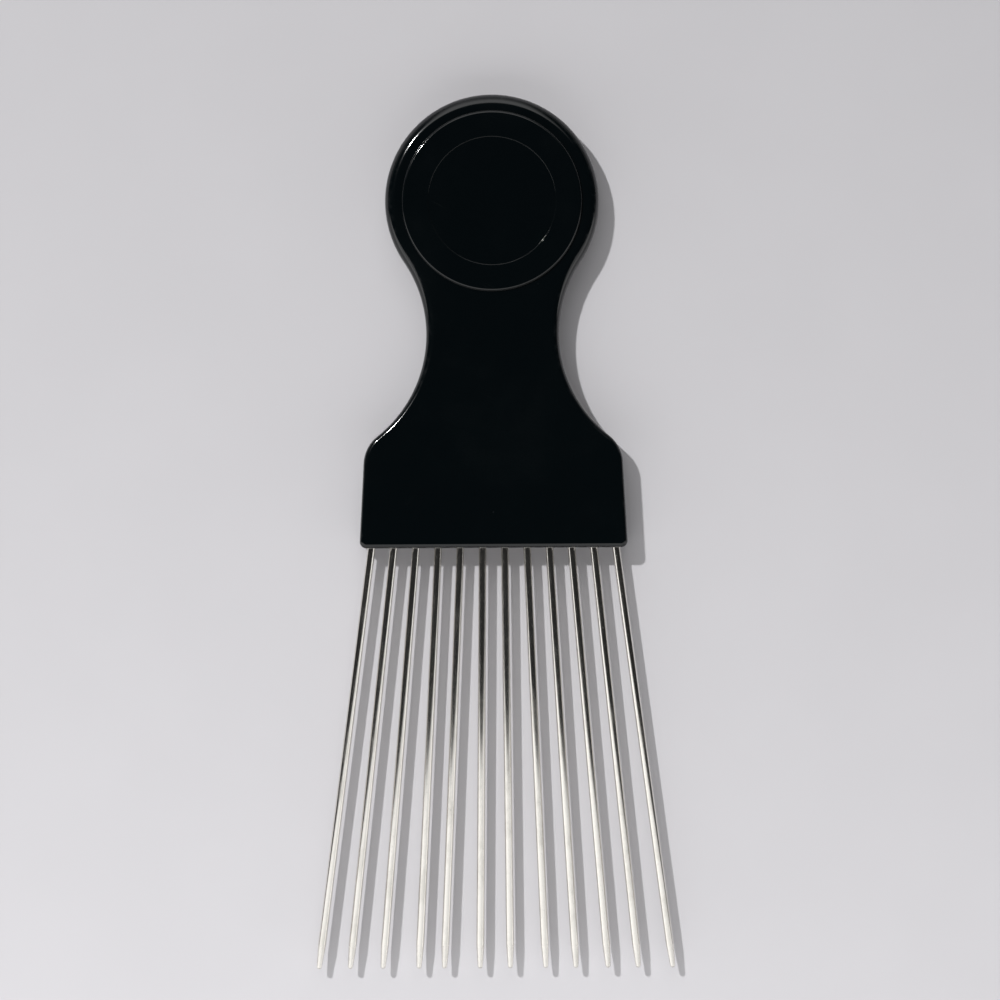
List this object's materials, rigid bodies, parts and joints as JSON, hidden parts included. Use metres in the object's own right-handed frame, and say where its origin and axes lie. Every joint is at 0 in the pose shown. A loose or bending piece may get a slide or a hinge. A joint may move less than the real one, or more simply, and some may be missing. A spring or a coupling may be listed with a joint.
{
  "type": "afro pick",
  "caption": "Hair pick: a fan of long straight plated wire tines clamped in a waisted black plastic handle with a round ringed head.",
  "frame": {"origin": "middle of the pick's outline on the flat back that it lies on", "axes": "+Y from the points of the tines to the round head, +Z out of the face, +X to the right of the face"},
  "size_m": [0.0886, 0.2156, 0.0109],
  "materials": {
    "handle_plastic": "glossy black moulded plastic with fine handling scratches",
    "tine_plating": "bright nickel plate on drawn steel wire, satin where the points are ground"
  },
  "bodies": {
    "root": {"handle_front": "handle_plastic", "handle_back": "handle_plastic", "tine_01": "tine_plating", "tine_02": "tine_plating", "tine_03": "tine_plating", "tine_04": "tine_plating", "tine_05": "tine_plating", "tine_06": "tine_plating", "tine_07": "tine_plating", "tine_08": "tine_plating", "tine_09": "tine_plating", "tine_10": "tine_plating", "tine_11": "tine_plating", "tine_12": "tine_plating"}
  },
  "joints": []
}
